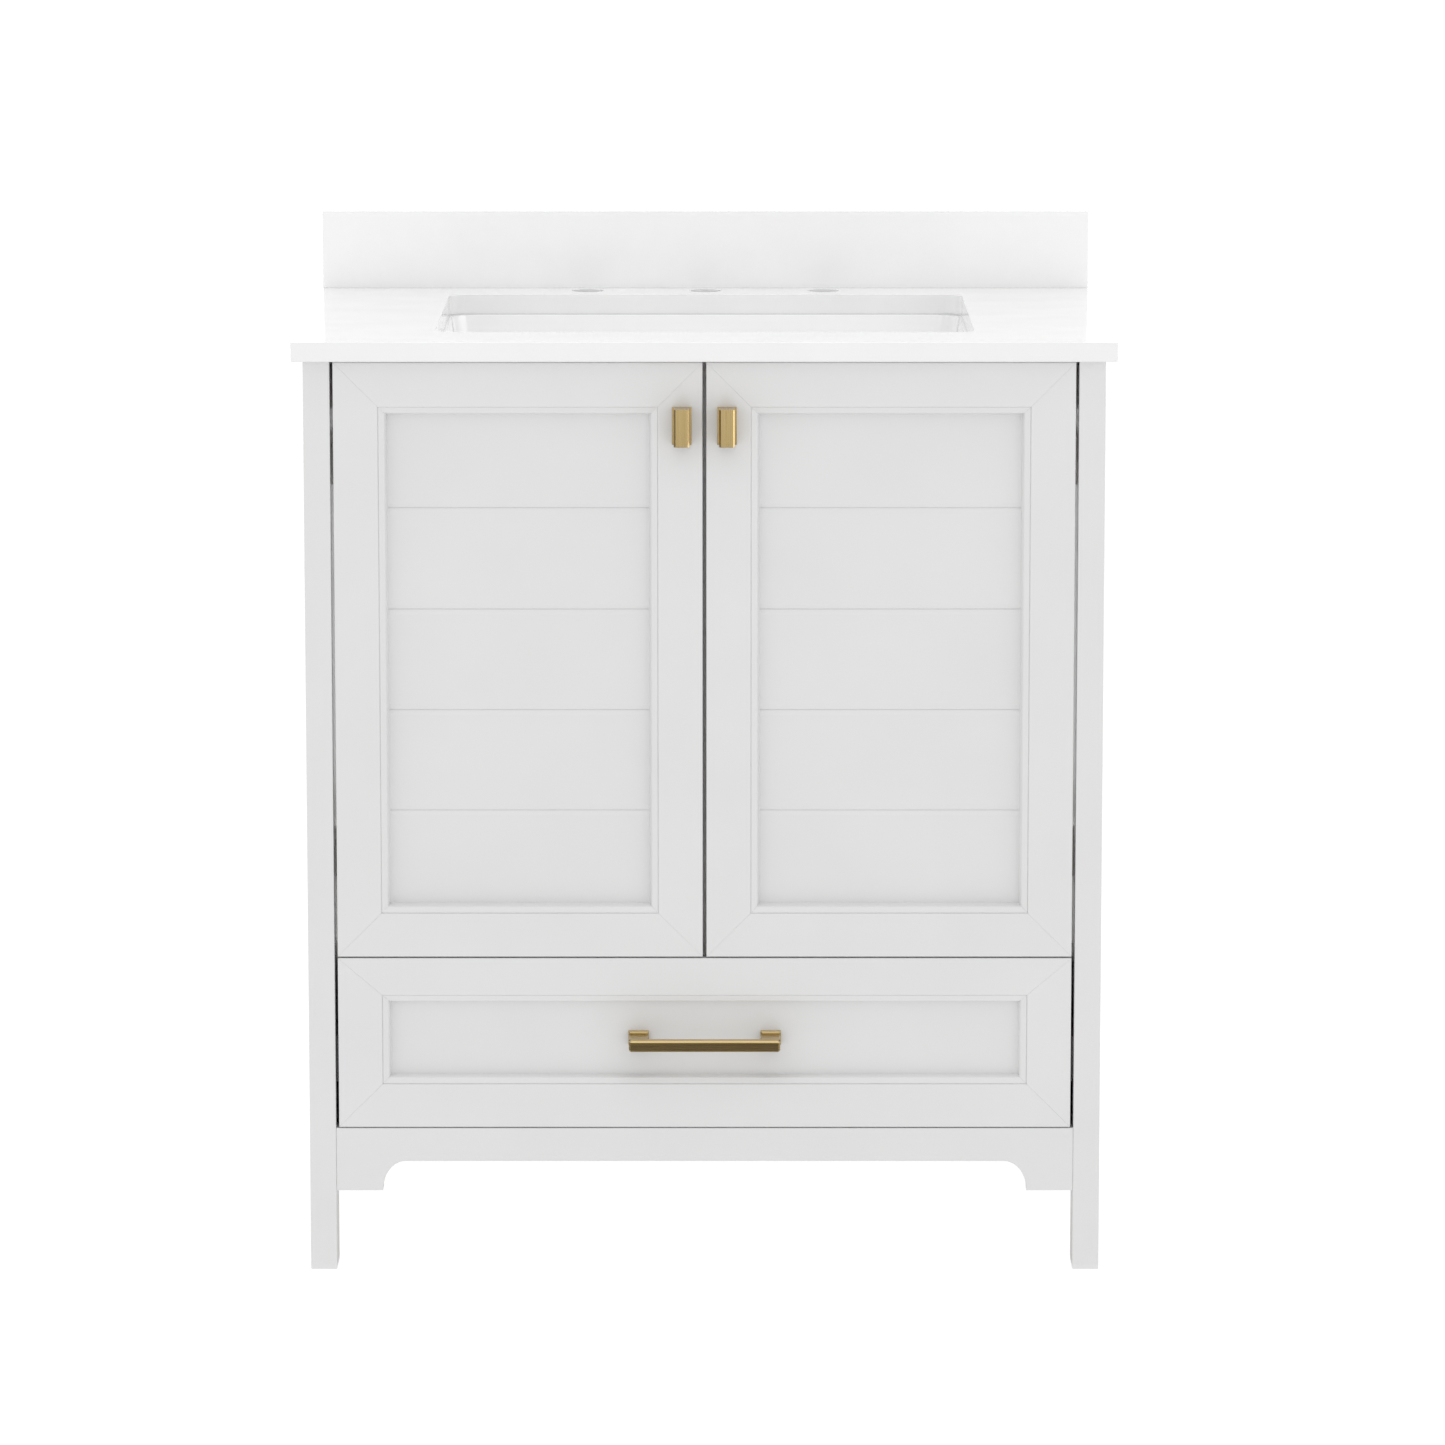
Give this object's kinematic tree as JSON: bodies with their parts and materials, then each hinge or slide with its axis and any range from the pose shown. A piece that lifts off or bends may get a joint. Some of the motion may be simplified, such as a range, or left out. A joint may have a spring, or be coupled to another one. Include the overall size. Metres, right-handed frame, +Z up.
{
  "type": "bathroom vanity",
  "caption": "Freestanding bathroom vanity on square legs: hinged plank-panelled doors over a drawer, arched apron, stone top with upstand, faucet holes and undermount basin.",
  "frame": {"origin": "on the floor, under the centre of the whole object's width and depth", "axes": "+Z up, +X to the right seen from the front, -Y towards the user (doors and drawer), +Y to the wall"},
  "size_m": [0.787, 0.574, 0.9865],
  "materials": {
    "white_paint": "satin white paint on hardwood and board",
    "interior_board": "white laminate on plywood",
    "stone_top": "polished white engineered stone",
    "basin_glaze": "white glaze",
    "brass": "brushed champagne brass",
    "zinc_steel": "zinc plated",
    "nickel": "nickel plated",
    "clear_bumper": "clear soft pad",
    "silicone": "white silicone",
    "beech": "plain beech"
  },
  "bodies": {
    "cabinet": {"leg_front_left": "white_paint", "leg_front_right": "white_paint", "leg_rear_left": "white_paint", "leg_rear_right": "white_paint", "side_panel_left": "white_paint", "side_panel_right": "white_paint", "apron": "white_paint", "bottom_panel": "interior_board", "compartment_floor": "interior_board", "back_panel": "interior_board", "top_rail_front": "interior_board", "top_rail_back": "interior_board", "back_rail_lower": "interior_board", "corner_blocks": "beech", "countertop": "stone_top", "backsplash": "stone_top", "sink_basin": "basin_glaze", "sink_sealant": "silicone", "sink_clips": "zinc_steel", "hinge_arms": "nickel", "hinge_plates": "nickel", "cabinet_slide_members": "zinc_steel", "carcass_screws": "zinc_steel", "dowels": "beech", "center_stile": "interior_board"},
    "left_door": {"door_left_stile_hinge": "white_paint", "door_left_stile_meeting": "white_paint", "door_left_rail_top": "white_paint", "door_left_rail_bottom": "white_paint", "door_left_planks": "white_paint", "knob_left": "brass", "door_left_screws": "zinc_steel", "hinge_cups_left": "nickel", "hinge_pins_left": "nickel", "door_bumpers_left": "clear_bumper"},
    "right_door": {"door_right_stile_hinge": "white_paint", "door_right_stile_meeting": "white_paint", "door_right_rail_top": "white_paint", "door_right_rail_bottom": "white_paint", "door_right_planks": "white_paint", "knob_right": "brass", "door_right_screws": "zinc_steel", "hinge_cups_right": "nickel", "hinge_pins_right": "nickel", "door_bumpers_right": "clear_bumper"},
    "drawer": {"drawer_front_stile_left": "white_paint", "drawer_front_stile_right": "white_paint", "drawer_front_rail_top": "white_paint", "drawer_front_rail_bottom": "white_paint", "drawer_front_panel": "white_paint", "drawer_pull": "brass", "drawer_screws": "zinc_steel", "drawer_side_left": "interior_board", "drawer_side_right": "interior_board", "drawer_box_front": "interior_board", "drawer_box_back": "interior_board", "drawer_bottom": "interior_board", "drawer_slide_members": "zinc_steel"},
    "slide_left": {"slide_middle_left": "zinc_steel"},
    "slide_right": {"slide_middle_right": "zinc_steel"}
  },
  "joints": [
    {"name": "left_door_swing", "type": "hinge", "parent": "cabinet", "child": "left_door", "pos_m": [-0.3315, -0.2485, 0.5974], "axis": [0, 0, -1], "range_deg": [0, 100]},
    {"name": "right_door_swing", "type": "hinge", "parent": "cabinet", "child": "right_door", "pos_m": [0.3315, -0.2485, 0.5974], "axis": [0, 0, 1], "range_deg": [0, 100]},
    {"name": "drawer_slide", "type": "slide", "parent": "cabinet", "child": "drawer", "axis": [0, -1, 0], "range_m": [0, 0.43]},
    {"name": "slide_left_follow", "type": "slide", "parent": "cabinet", "child": "slide_left", "axis": [0, -1, 0], "range_m": [0, 0.215]},
    {"name": "slide_right_follow", "type": "slide", "parent": "cabinet", "child": "slide_right", "axis": [0, -1, 0], "range_m": [0, 0.215]}
  ],
  "couplings": [
    {"joint": "slide_left_follow", "follows": "drawer_slide", "ratio": 0.5},
    {"joint": "slide_right_follow", "follows": "drawer_slide", "ratio": 0.5}
  ]
}
